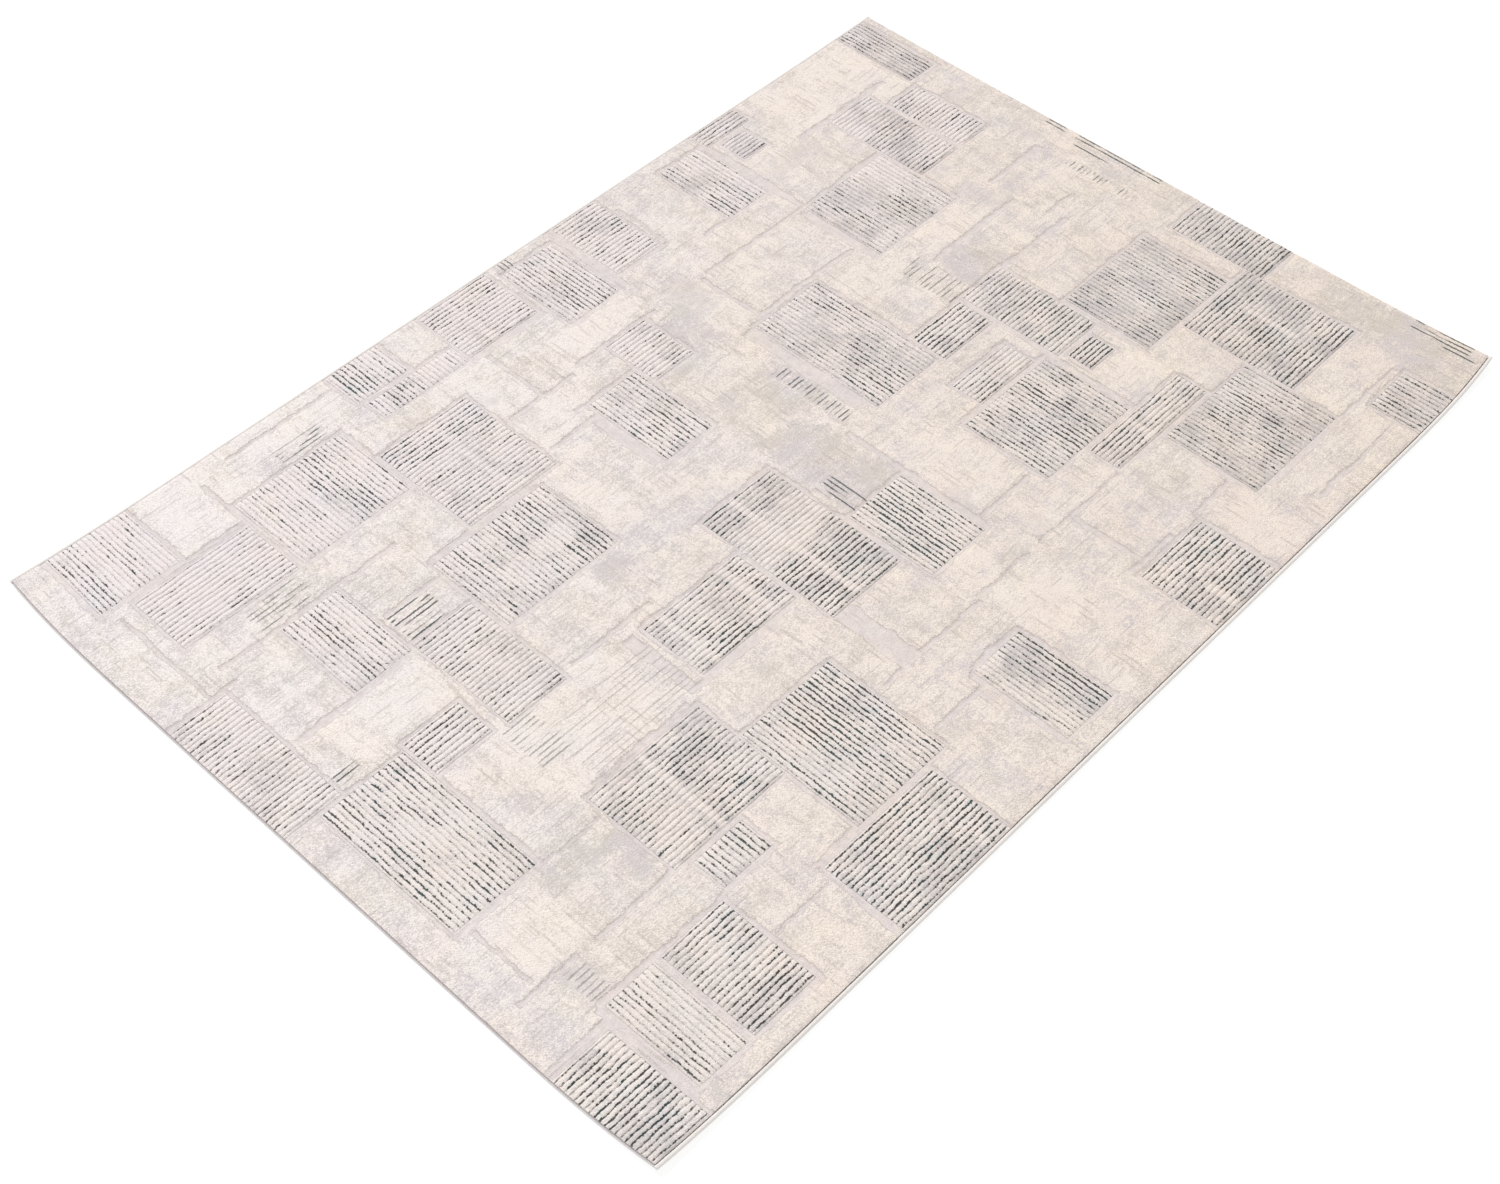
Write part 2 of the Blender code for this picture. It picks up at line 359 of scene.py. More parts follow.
def spread(name, node, step, unevenness, lump_size, seed, material):
    """Lay one full layer of the rug, slightly uneven on top, in place of its CAD node."""
    low, high = LAYERS[node]
    layer = lay_layer(
        name,
        cuts(low.x, high.x, np.arange(low.x, high.x, CLOSEST_SEAM), step),
        cuts(low.y, high.y, np.arange(low.y, high.y, CLOSEST_SEAM), step),
        low.z, lambda x, y: high.z - unevenness * hills(x, y, lump_size, seed), material,
    )
    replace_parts(layer, node)
    return layer


latex_coat, surface, place = new_material("latex_coat", 0.62, 0.0, 0.4)
scraped = place.stretched(2.6, 0.5).grain(18.0, 5.0, 0.75).step(0.2, 0.8)
jute = weave_grid(place, 0.0026, 0.0034)
lumps = place.grain(210.0, 3.0, 0.6)
rubbery = (scraped * 0.45 + jute * 0.45 + lumps * 0.1).mixed(yarn(203, 194, 178), yarn(230, 224, 212))
finish_material(surface, rubbery, jute * (1 - scraped * 0.4) + lumps * 0.5, 0.0006, 0.5 + lumps * 0.3)
spread("latex_backing", "latex_backcoat", 0.012, 0.0001, 0.02, 3, latex_coat)

# --- Ground cloth ---
# The plain-woven cloth of warp and weft that every tuft is tied into. It is one flat sheet as
# wide and as long as the pile, and lies on the latex.

ground_weave, surface, place = new_material("ground_weave", 0.9, 0.2, 0.2)
threads = weave_grid(place, 0.0022, 0.0028)
slubs = place.stretched(1.0, 12.0).grain(40.0)
finish_material(surface, (threads * 0.6 + slubs * 0.4).mixed(yarn(196, 186, 174), yarn(226, 218, 207)),
                threads, 0.0006)

low, high = LAYERS["ground_cloth"]
cloth = spread("woven_ground_cloth", "ground_cloth", 0.012, 0.0001, 0.015, 5, ground_weave)

# --- Sunken pile ---
# The short lavender-grey loops between the raised figures. They show as channels round each
# ribbed block, and everywhere they are woven shorter than the pile beside them.

LAVENDER = yarn(231, 221, 217)
LAVENDER_SHADE = yarn(202, 191, 190)


def knots(place, per_metre=420.0):
    """The lumpy look of cut tufts, from 0 to 1."""
    values = {"Vector": place, "Scale": per_metre, "Randomness": 0.9}
    cells = place.node("ShaderNodeTexVoronoi", {"feature": "F1", "voronoi_dimensions": "3D"}, values)
    return (1 - cells.step(0.1, 0.9)) * 0.6 + place.grain(per_metre * 0.6, 3.0, 0.6) * 0.4


TUFT_ACROSS = 0.0026
TUFT_ALONG = 0.0030


def tuft_by_tuft(place):
    """The middle of the tuft that a place is in, so that a pattern changes from tuft to tuft."""
    return place.vector("SNAP", {0: place, 1: (TUFT_ACROSS, TUFT_ALONG, 1.0)})


def chance(place):
    """A number from 0 to 1, drawn afresh for each tuft."""
    return place.node("ShaderNodeTexWhiteNoise", {"noise_dimensions": "3D"}, {"Vector": tuft_by_tuft(place)})


COOL_CAST = (0.952, 0.997, 1.054, 1.0)
WARM_CAST = (1.048, 1.003, 0.946, 1.0)


def graded_tint(place, colour):
    """The colour tinted cooler and lighter at the near left, warmer and darker at the far right, with cloudy
    drift.
    """
    x, y = place.ways()
    drift = x * 0.08 + y * 0.12 + place.grain(9.0, 4.0, 0.6) * 1.05 - 0.025
    lightness = 1.012 - x * 0.026 - y * 0.028
    cast = place.vector("SCALE", {0: drift.mixed(COOL_CAST, WARM_CAST), "Scale": lightness})
    settings = {"data_type": "RGBA", "blend_type": "MULTIPLY"}
    return place.node("ShaderNodeMix", settings, {0: 1.0, 6: colour, 7: cast}, 2)


sunken_yarn, surface, place = new_material("sunken_pile_yarn", 0.95, 0.25, 0.15)
tufts = knots(place)
patchy = place.grain(30.0, 3.0, 0.6).step(0.3, 0.7)
# The darker lavender where the tuft relief is low is painted shade between tufts; the patchy part is the
# yarn's own uneven tone.
lavender = (tufts * 0.5 + patchy * 0.5).mixed(LAVENDER_SHADE, LAVENDER)
finish_material(surface, graded_tint(place, lavender), tufts, 0.0008)
spread("sunken_pile", "low_pile", 0.010, 0.0003, 0.012, 7, sunken_yarn)

# --- Plain pile ---
# The raised field of cream and beige cut tufts, with a window for each ribbed block. Channels and
# hollows are woven short in it, and long wear has left soft grey mottling and fine line marks.
# It is made as panels that meet tuft to tuft, so each one carries its colour finely.

PILE_STEP = 0.004
PANEL_COLUMNS = 3
PANEL_ROWS = 5
CHANNEL_DEPTH = 0.0018
CHANNEL_MARGIN = 0.0090
WINDOW_GAP = 0.0004
SPLAY = 0.0052
SPLAY_REACH = 0.012
BLOCKS = {node: node_box(node) for node in sorted(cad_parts) if node.startswith("ribbed_block_")}


# The weave plan is squared paper, with its marks counted from the left side and from the far end.
MARKS_ACROSS = 160
MARKS_ALONG = 228


def plan_box(left, right, far, near):
    """Turn a box on the weave plan from its marks into metres."""
    x = [RUG_LOW.x + RUG_WIDTH * mark / MARKS_ACROSS for mark in (left, right)]
    y = [RUG_HIGH.y - RUG_LENGTH * mark / MARKS_ALONG for mark in (near, far)]
    return x[0], x[1], y[0], y[1]


# Narrow channels that run along the rug: left, right, far end, near end.
CHANNELS_ALONG = [
    (22.5, 24, 2, 10), (55.2, 57.2, 9, 26), (17.2, 19, 15, 42), (62.2, 63.8, 26, 52), (70, 71, 16, 25),
    (73.5, 75.2, 23, 44), (88, 89.3, 16, 44), (113.5, 114.7, 1, 11), (109, 110.5, 24, 43),
    (145.7, 147.2, 15, 56), (154, 155.2, 26, 52), (32.5, 34, 34, 76), (48, 49.6, 60, 88), (24, 25.2, 58, 78),
    (116, 117.5, 58, 83), (124.5, 125.6, 33, 60), (140, 141.5, 59, 72), (140, 141.5, 78, 90),
    (124.3, 125.3, 64, 96), (124.3, 125.3, 99, 113), (95, 96.3, 57, 83), (20.5, 21.6, 84, 99),
    (32.2, 33.6, 74, 86), (32.2, 33.6, 100, 121), (23.6, 25, 100, 114), (41, 42.4, 114, 130),
    (16.6, 18.6, 115, 134.5), (33.5, 35, 123, 140), (44.8, 46.2, 127, 140), (62.6, 64, 115, 128),
    (112.5, 114, 84, 98), (133.3, 134.7, 113, 126), (125, 126.4, 113, 139), (137, 138.6, 126.5, 140),
    (109.2, 110.6, 116, 134.5), (102.2, 104, 139, 162), (83.8, 85, 153, 172), (154.6, 155.6, 113, 126),
    (3.5, 4.6, 156, 183), (34, 35.2, 164, 189), (41.4, 42.6, 174, 214), (48.8, 50.2, 148, 174),
    (52.8, 54.1, 174, 187), (70, 71.4, 147, 173), (62.4, 64, 188, 214), (76.4, 77.6, 202, 219),
    (45.2, 46.4, 213, 228), (17.6, 19, 189, 222), (104, 105.2, 164, 187), (140.4, 142, 148, 174),
    (144.4, 145.6, 174, 187), (133.8, 135, 174, 214.5), (109.4, 110.6, 190, 221.5),
    (125, 126.4, 189, 206.5), (125, 126.4, 210, 223), (154.8, 156, 188, 211), (136.2, 137.6, 215, 228),
]
CHANNELS_ACROSS = [
    (6, 33, 56.2, 58.5), (34, 54.5, 57.8, 60), (88, 111, 42.8, 44.3), (82, 116.5, 56.2, 57.5),
    (140.5, 159.5, 70.5, 71.8), (6, 20.5, 83.5, 84.7), (33, 50, 86.4, 87.8), (50, 80, 90.5, 93.5),
    (33, 42.5, 113.5, 114.8), (18.6, 34.5, 130.4, 132), (46, 62, 127, 130), (125, 140.5, 86, 87.6),
    (134.5, 155.5, 126.2, 127.7), (109, 126.2, 129, 134), (87, 104.2, 160, 162.8),
    (110.5, 124.5, 218, 219.2), (0, 20, 220.5, 221.8), (20.5, 45.5, 217.8, 219), (141.5, 160, 172.8, 174),
    (134.5, 156, 214, 215.5), (134.5, 156, 186.8, 188), (82, 116.5, 98.2, 99.8), (0, 24, 98, 100),
    (6, 20, 189, 190.2), (78, 109.5, 202, 203.2),
]
# Patches of the lavender-grey yarn, woven a little lower.
HOLLOWS = [
    (30, 35, 5.5, 11), (50.5, 54.5, 6, 10), (44, 48, 27, 34), (53, 62, 27, 33), (19, 24, 40, 56),
    (30, 41, 89, 97), (113, 116.5, 50, 54.5), (125, 129, 57.5, 60), (112, 118, 80, 83), (104, 109, 96, 100),
    (120.5, 123.5, 90.5, 94), (129, 131, 92.5, 95), (141, 146, 90, 92), (34, 37, 134, 140),
    (27, 29, 137, 140), (132, 135, 122, 126), (137, 140, 126, 129), (126, 134, 210.5, 215),
]
# Places that wear has greyed, and places that it has left clean.
GREYED = [
    (70, 77, 148, 156), (110, 116, 194, 206), (114, 123, 189, 194), (73, 80, 103, 113), (97, 101, 195, 199),
    (108, 117, 114, 119), (143, 152, 6, 13), (64, 74, 40, 52), (80, 96, 100, 113), (60, 72, 93, 112),
    (36, 50, 96, 112), (56, 62, 188, 200), (124, 146, 2, 12), (144, 159, 2, 14),
]
BRIGHT = [
    (2, 17, 12, 40), (56, 62, 35, 50), (24, 32, 100, 120), (64, 72, 103, 111), (54, 68, 139, 146),
    (15, 20, 49, 56), (106, 115, 44, 53), (70, 76, 156, 160), (143, 158, 60, 70), (126, 140, 98, 112),
    (84, 104, 166, 194), (18, 32, 12, 30), (112, 124, 104, 112), (2, 10, 157, 182), (110, 124, 205, 218),
    (16, 50, 131, 146), (0, 18, 182, 201), (64, 76, 190, 210), (96, 112, 84, 97),
]
# Figures of a few worn ribs among the plain pile: the way they run, their strength and their place.
WORN_RIBS = [
    ("along", 0.8, 63.2, 80.5, 8, 10.4), ("along", 0.7, 60, 74, 52.8, 59.2),
    ("along", 0.9, 61.5, 80, 94.2, 97.6), ("across", 0.9, 0, 3.6, 109.5, 114),
    ("across", 1.1, 87.2, 96, 108.8, 113.5), ("along", 1.0, 9, 12.5, 165.5, 176),
    ("along", 1.5, 53.5, 61, 178.2, 187), ("along", 0.6, 86, 97, 183.5, 190),
    ("along", 0.7, 35, 41.5, 191.5, 203.5), ("along", 1.2, 72.8, 75.8, 210, 215),
    ("along", 0.5, 126, 133.5, 210.5, 214.5),
    ("across", 1.7, 52, 81.5, 0.4, 2.6), ("across", 1.2, 61, 70, 3.2, 4.4),
    ("across", 1.8, 142.5, 156, 0.6, 3), ("across", 1.6, 150, 158, 3.0, 4.8),
    ("along", 0.3, 90, 104, 160, 185),
]


def depth_inside(x, y, box):
    """How far a point is inside a box, in metres, and below zero outside it."""
    x0, x1, y0, y1 = box
    return np.minimum(np.minimum(x - x0, x1 - x), np.minimum(y - y0, y1 - y))


def sides(low, high, margin=0.0):
    """The box between two corners, let out by a margin."""
    return low.x - margin, high.x + margin, low.y - margin, high.y + margin


def patchwork(x, y, places, soft):
    """How far a point is in any of the places on the plan, from 0 to 1, with ragged soft edges."""
    ragged_x = x + 0.030 * (hills(x, y, 0.045, 11) - 0.5) + 0.014 * (hills(x, y, 0.012, 12) - 0.5)
    ragged_y = y + 0.030 * (hills(x, y, 0.045, 13) - 0.5) + 0.014 * (hills(x, y, 0.012, 14) - 0.5)
    cover = np.zeros_like(x)
    for figure in places:
        inside = depth_inside(ragged_x, ragged_y, plan_box(*figure))
        cover = np.maximum(cover, ease(inside, -soft, soft))
    return cover


SHORT_WOVEN = [plan_box(*channel) for channel in CHANNELS_ALONG + CHANNELS_ACROSS]
SHORT_WOVEN += [sides(low, high, CHANNEL_MARGIN) for low, high in BLOCKS.values()]


def sinking(x, y):
    """How far inside a channel, or the margin of a block, a point of the plain pile is, in metres."""
    wavy_x = x + 0.0055 * (hills(x, y, 0.030, 21) - 0.5) + 0.0045 * (hills(x, y, 0.010, 22) - 0.5)
    wavy_y = y + 0.0055 * (hills(x, y, 0.030, 23) - 0.5) + 0.0045 * (hills(x, y, 0.010, 24) - 0.5)
    deepest = np.full_like(x, -0.1)
    for box in SHORT_WOVEN:
        deepest = np.maximum(deepest, depth_inside(wavy_x, wavy_y, box))
    return deepest - 0.0038 * hills(x, y, 0.06, 25)


def splay(x, y):
    """How far the tufts lean out over the hem at each end, as a move across and along the rug."""
    low, high = LAYERS["plain_pile"]
    return 0 * x, SPLAY * (ease(y, high.y - SPLAY_REACH, high.y) + ease(y, low.y, low.y + SPLAY_REACH) - 1)


def plain_height(x, y):
    """The height of the plain pile: full, but for its channels, its worn patches and its splayed rim."""
    low, high = LAYERS["plain_pile"]
    sunk = ease(sinking(x, y), -0.0022, 0.0028)
    worn = 0.0004 * patchwork(x, y, GREYED, 0.012) + 0.0008 * patchwork(x, y, HOLLOWS, 0.008)
    rim = 1 - ease(depth_inside(x, y, sides(low, high)), -0.001, 0.004)
    tufted = 0.0005 * hills(x, y, 0.0062, 31) + 0.0004 * hills(x, y, 0.019, 32)
    return high.z - CHANNEL_DEPTH * sunk - worn - 0.0012 * rim - tufted


def plain_marks(x, y):
    """What the plain pile's dye depends on, at each point."""
    ribs = {"along": np.zeros_like(x), "across": np.zeros_like(x)}
    for run, strength, *figure in WORN_RIBS:
        cover = strength * ease(depth_inside(x, y, plan_box(*figure)), -0.002, 0.004)
        ribs[run] = np.maximum(ribs[run], cover)
    return {
        "sink": 100 * np.clip(sinking(x, y), -0.03, 0.03),
        "grey": patchwork(x, y, GREYED, 0.012),
        "hollow": patchwork(x, y, HOLLOWS, 0.008),
        "bright": patchwork(x, y, BRIGHT, 0.012),
        "ribs_along": ribs["along"],
        "ribs_across": ribs["across"],
    }


RIB_PITCH = 0.0105
ROSE_CREAM = yarn(245, 235, 230)
WARM_CREAM = yarn(241, 227, 216)
STRAW_CREAM = yarn(245, 234, 222)
WORN_GREY = yarn(211, 202, 202)
WORN_BEIGE = yarn(211, 202, 193)
# This grey is also used for painted shade, between tufts and along the brinks of channels.
SCRATCH_AND_SHADE_GREY = yarn(188, 176, 170)
RIB_ROSE = yarn(243, 233, 230)
RIB_WARM = yarn(241, 231, 224)
RIB_GREY = yarn(196, 189, 187)
RIB_GREEN = yarn(188, 196, 194)
INK_GREEN = yarn(44, 66, 68)
INK_BROWN = yarn(68, 59, 57)
INK_GREY = yarn(96, 102, 102)

plain_yarn, surface, place = new_material("plain_pile_yarn", 0.95, 0.25, 0.15)
tufts = knots(place, 400.0)
sideways, lengthways = place.ways()
warmth = (sideways * 0.7 + lengthways * 0.45 + place.grain(3.0) * 0.8 - 0.4).step(-0.8, 0.7)
cream = warmth.mixed(ROSE_CREAM, WARM_CREAM)
straw = place.grain(11.0, 3.0, 0.6).step(0.40, 0.66) * (warmth * 0.6 + 0.25)
cream = straw.mixed(cream, STRAW_CREAM)
woven = tuft_by_tuft(place)
tuft_chance = chance(place)
clean = place.grain(5.0, 2.0).step(0.38, 0.62)
cloudy = woven.stretched(0.5, 1.4).grain(21.0, 6.0, 0.85) + woven.stretched(1.4, 0.5).grain(21.0, 6.0, 0.85)
blotch = cloudy * 0.72 - 0.22 + place.mark("grey") * 0.12 - place.mark("bright") * 0.10 - clean * 0.05
mottle = (blotch + tuft_chance * 0.18 - 0.03).step(0.40, 0.72)
worn = place.grain(7.0, 3.0, 0.6).step(0.38, 0.62).mixed(WORN_GREY, WORN_BEIGE)
which_way = place.grain(9.0, 1.0).step(0.48, 0.52)
tuft_column, tuft_row = woven.ways()


def scratch_lines(run_at, row_at, pitch):
    """Fine straight lines, one tuft wide, that start and stop."""
    spot = {0: run_at * 12.0, 1: row_at * (3.71 / pitch) + 0.37}
    return place.node("ShaderNodeCombineXYZ", (), spot).grain(1.0, 2.0)


lines_across = scratch_lines(sideways, tuft_row, TUFT_ALONG)
lines_along = scratch_lines(lengthways, tuft_column, TUFT_ACROSS)
scratches = (which_way * lines_across + (1 - which_way) * lines_along).step(0.56, 0.70)
sink = place.mark("sink") + tuft_chance * 0.22 - 0.11
sunk = sink.step(-0.10, 0.12)
# painted_edge_shade is 1 along the brink of each channel: a painted shade line for the shadowed wall there.
painted_edge_shade = 1 - (sink + 0.02).sum("ABSOLUTE").step(0.02, 0.2)


def worn_lines(across_ribs, mark_name, broken):
    """The dark lines between worn ribs, from 0 to 1, in broken strokes."""
    count = across_ribs * (1 / RIB_PITCH)
    wave = (count + tuft_chance * 0.12).sum("FRACT")
    gap = (wave - 0.5).sum("ABSOLUTE")
    return (1 - gap.step(0.08, 0.19)) * place.mark(mark_name) * broken.step(0.36, 0.56)


strokes = worn_lines(lengthways, "ribs_across", place.stretched(16.0, 95.0).grain(1.0, 1.0))
strokes = strokes + worn_lines(sideways, "ribs_along", place.stretched(95.0, 16.0).grain(1.0, 1.0))
colour = mottle.mixed(cream, worn)
colour = (scratches * 0.42).mixed(colour, SCRATCH_AND_SHADE_GREY)
# Grey where the tuft relief is low is painted shade between tufts; the per-tuft part is the yarn's own random
# tone.
colour = (tuft_chance * tuft_chance * 0.16 + (1 - tufts) * 0.14).mixed(colour, SCRATCH_AND_SHADE_GREY)
patchy = woven.grain(44.0, 4.0, 0.7).step(0.3, 0.62)
# The darker lavender where the tuft relief is low is painted shade between tufts; the cloudy part is the
# yarn's own tone.
lavender = (tufts * 0.5 + woven.grain(70.0, 3.0, 0.7) * 1.6 - 0.6).mixed(LAVENDER_SHADE, LAVENDER)
low_woven = sunk * (patchy * 0.55 + 0.37) + place.mark("hollow") * (1 - sunk) * patchy * 0.75
colour = low_woven.mixed(colour, lavender)
# Painted shade: a thin grey line along each channel's brink stands in for the shadow on its wall.
colour = (painted_edge_shade * (patchy * 0.4 + 0.3)).mixed(colour, SCRATCH_AND_SHADE_GREY)
colour = graded_tint(place, strokes.mixed(colour, INK_GREY))
finish_material(surface, colour, tufts * (1 - sunk * 0.4) - scratches * 0.35 - strokes * 0.9, 0.0012)

low, high = LAYERS["plain_pile"]
windows = [(box[:2], box[2:]) for box in (sides(*corners, WINDOW_GAP) for corners in BLOCKS.values())]
panel_xs = np.linspace(low.x, high.x, PANEL_COLUMNS + 1)
panel_ys = np.linspace(low.y, high.y, PANEL_ROWS + 1)
for column in range(PANEL_COLUMNS):
    for row in range(PANEL_ROWS):
        x0, x1, y0, y1 = *panel_xs[column:column + 2], *panel_ys[row:row + 2]
        near_windows = [(across, along) for across, along in windows
                        if across[0] < x1 and across[1] > x0 and along[0] < y1 and along[1] > y0]
        panel = lay_layer(
            f"plain_pile_panel_{column + 1}_{row + 1}",
            cuts(x0, x1, [edge for window in near_windows for edge in window[0]], PILE_STEP),
            cuts(y0, y1, [edge for window in near_windows for edge in window[1]], PILE_STEP),
            low.z, plain_height, plain_yarn, near_windows, splay, plain_marks,
        )
        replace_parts(panel, "plain_pile")

# --- Ribbed blocks ---
# Forty-eight blocks of cream ribs with dark yarn in the furrows between them. The dark yarn was
# dyed unevenly, so its strokes start and stop, and in places it greys the ribs beside it.
# Each row gives the way the ribs run, how dark the strokes are, how grey the ribs are, and the
# block's heavy places and its faded ones.

ALONG, ACROSS = "along", "across"
BLOCK_DYE = [
    (ACROSS, 0.5, 0.5, [(0, 7.3, 8, 11), (0, 22, 3.4, 4.2), (20, 22, 3, 11)]),
    (ALONG, 0.68, 0.45, [(100, 106, 4, 8)]),
    (ALONG, 0.17, 0.28, [(34, 43, 11.8, 15.5), (24, 34, 15, 20.3)]),
    (ALONG, 0.28, 0.44, [(28, 36, 21.4, 33), (36, 44, 29, 33)], [(18.5, 27, 28, 33)]),
    (ALONG, 0.54, 0.46, [(110, 135.5, 21, 26), (131, 135.5, 11, 33)], [(115, 128, 20, 20.8)]),
    (ACROSS, 0.45, 0.46, [(89, 109, 22.7, 23.7), (89, 109, 30, 32.5), (102, 109, 17, 21), (102, 109, 35, 40),
     (89, 109, 41.5, 42.5)]),
    (ACROSS, 0.36, 0.4, [(148, 160, 16, 18), (148, 160, 20.5, 26.3)]),
    (ACROSS, 0.33, 0.42, [(44, 54, 40, 47), (33, 54, 50.5, 54.5)], [(33, 43, 33, 41)]),
    (ACROSS, 0.45, 0.42, [(128, 144, 40, 50)]),
    (ALONG, 0.52, 0.38),
    (ALONG, 0.52, 0.38, [(12.6, 13.8, 48, 54.6)]),
    (ALONG, 0.38, 0.32, [(75, 80, 45, 50), (83, 97, 44, 56)]),
    (ALONG, 0.88, 0.33),
    (ALONG, 0.46, 0.28, [(117, 124, 45, 47), (117, 124, 51, 54), (117, 124, 61.5, 70)],
     [(117, 124.2, 60, 61.3)]),
    (ACROSS, 0.4, 0.34, [(15, 24, 62, 64), (4.6, 24.6, 68, 69)]),
    (ALONG, 0.66, 0.28, [(82, 82.8, 57.2, 69)]),
    (ALONG, 0.44, 0.3, [(88, 95.4, 69, 76)], [(88, 95.4, 60.5, 64)]),
    (ACROSS, 0.58, 0.32, [(96.6, 116, 64, 68), (96.6, 116, 70, 74), (106, 110, 72, 76)]),
    (ACROSS, 0.44, 0.37, [(50.5, 64, 72.5, 73.5), (54, 60, 74, 78), (68, 80, 80, 89)]),
    (ALONG, 0.75, 0.33, [(152, 156, 72, 82)], [(152, 159, 82.5, 84)]),
    (ALONG, 0.22, 0.16, [(0, 8, 86, 97.6), (0, 20, 86.5, 90), (0, 20, 93, 96.5)]),
    (ACROSS, 0.46, 0.2, [(4, 23.7, 104.5, 107.5), (4, 23.7, 108.5, 110)]),
    (ALONG, 0.36, 0.2, [(33, 34.5, 103, 114), (44.5, 46.6, 103, 114)], [(33, 46.6, 108.8, 110.8)]),
    (ACROSS, 0.56, 0.2, [(96.2, 115.7, 103.5, 112)]),
    (ALONG, 0.36, 0.12, [(2, 6, 116, 133.5)], [(0, 16.6, 126.2, 127.5)]),
    (ACROSS, 0.42, 0.17, [(42, 62.6, 114.8, 117), (52, 62.6, 118, 127)]),
    (ALONG, 0.54, 0.37, [(78, 83, 127, 134), (96, 109, 116, 134)],
     [(77.8, 109, 125.5, 127), (85, 94, 116, 133)]),
    (ALONG, 0.46, 0.31, [(87.5, 102, 135.5, 138.8), (95, 102, 144, 152)],
     [(87.5, 102, 138.8, 140.2), (87.5, 102, 153.5, 154.6)]),
    (ACROSS, 0.7, 0.42, [(144, 155, 113.8, 119)], [(135, 155, 121, 126)]),
    (ACROSS, 0.34, 0.1, [(0, 10.5, 145.5, 146.8), (0, 10.5, 149, 155)]),
    (ACROSS, 0.42, 0.2, [(11.8, 17, 147, 155)], [(11.8, 17, 134, 144)]),
    (ALONG, 0.3, 0.2, [(23.6, 32, 141, 163), (43, 48.5, 141, 163)], [(23.6, 48.6, 150.5, 151.6)]),
    (ACROSS, 0.53, 0.3, [(50.5, 56, 148, 156), (64, 70, 148, 156), (50.5, 70, 159, 160.2)],
     [(59, 64, 150, 168)]),
    (ACROSS, 0.6, 0.27, [(115.5, 134, 141.5, 154)]),
    (ALONG, 0.72, 0.28, [(150, 160, 147, 162)]),
    (ACROSS, 0.42, 0.13, [(14, 33.8, 169, 175)], [(14, 33.8, 177.5, 178.6)]),
    (ALONG, 0.5, 0.35, [(105.8, 125.7, 167, 176)], [(105.8, 125.7, 177, 178.2)]),
    (ACROSS, 0.58, 0.33, [(126.8, 133.6, 176, 179)]),
    (ALONG, 0.42, 0.18, [(84, 85.8, 174.5, 187.5)]),
    (ALONG, 0.36, 0.05, [], [(19.5, 34.1, 197.2, 198.2), (19.5, 34.1, 210.8, 211.8), (19.5, 34.1, 204, 206)]),
    (ACROSS, 0.47, 0.15, [(42.8, 62.2, 193.5, 197.5)]),
    (ALONG, 0.42, 0.13, [(76, 82, 190.5, 202.5)]),
    (ALONG, 0.68, 0.25, [(147, 154.7, 188, 201.6)]),
    (ACROSS, 0.4, 0.18, [(146, 154.7, 209.5, 213)]),
    (ACROSS, 0.28, 0.0, [(3, 8, 204, 206), (0, 17.5, 209.3, 210.3), (0, 17.5, 215, 220)]),
    (ACROSS, 0.46, 0.18, [(77.4, 88, 203.2, 221), (100, 109, 203.2, 221), (77.4, 109, 203.5, 204.3),
     (77.4, 109, 206.5, 207.5), (77.4, 109, 213, 214), (77.4, 109, 216, 221)]),
    (ALONG, 0.47, 0.17, [], [(46.5, 57, 216, 219.5)]),
    (ALONG, 0.8, 0.35, [], [(138.3, 144, 216, 219)]),
]
RIB_LINES = (0.0, 0.15, 0.30, 0.40, 0.50, 0.60, 0.70, 0.85)
RUN_STEP = 0.006
FURROW_DEPTH = 0.0023
FURROW_WIDTH = 0.15
SHOULDER_DEPTH = 0.0022
CREST_RISE = 0.0002
RIB_WOBBLE = 0.0024
NARROW_GAP = 3

ribbed_yarn, surface, place = new_material("ribbed_pile_yarn", 0.95, 0.25, 0.15)
tufts = knots(place, 420.0)
rib, run, dye = place.mark("rib"), place.mark("run"), place.mark("dye")
furrow_number = rib.sum("FLOOR")


def along_furrow(per_metre, detail):
    """Cloudiness that runs along each furrow and is fresh in the next one."""
    spot = place.node("ShaderNodeCombineXYZ", (), {0: run * per_metre, 1: furrow_number * 4.37})
    return spot.grain(1.0, detail, 0.6)


step_of_run = run.sum("SNAP", run, TUFT_ALONG)


def furrow_chance(salt):
    """A number from 0 to 1, drawn afresh for each tuft along each furrow."""
    spot = place.node("ShaderNodeCombineXYZ", (), {0: step_of_run, 1: furrow_number, 2: salt})
    return place.node("ShaderNodeTexWhiteNoise", {"noise_dimensions": "3D"}, {"Vector": spot})


beading = along_furrow(55.0, 2.0)
part_way = rib - furrow_number - 0.5 + furrow_chance(0.31) * 0.16 + beading * 0.22 - 0.19
off_furrow = part_way.sum("ABSOLUTE")
uneven = furrow_chance(0.77)
tuft_chance = chance(place)
broken = along_furrow(14.0, 4.0) * 1.9 + along_furrow(2.5, 1.0) + along_furrow(82.0, 1.0) * 1.3
dark = broken + dye + uneven * 0.5 - 2.42
stroke = dark.step(0.08, 0.85)
heaviest = dark.step(0.65, 1.35)
half_width = stroke * 0.065 + heaviest * 0.080 + 0.005 + uneven * 0.065
furrow = 1 - (off_furrow - half_width).step(-0.045, 0.040)
greyed = (place.mark("soil") + place.grain(34.0, 5.0, 0.75) * 1.3 - 0.83 + tuft_chance * 0.3).step(0.0, 0.9)
cream = place.ways()[0].step(-0.6, 0.5).mixed(RIB_ROSE, RIB_WARM)
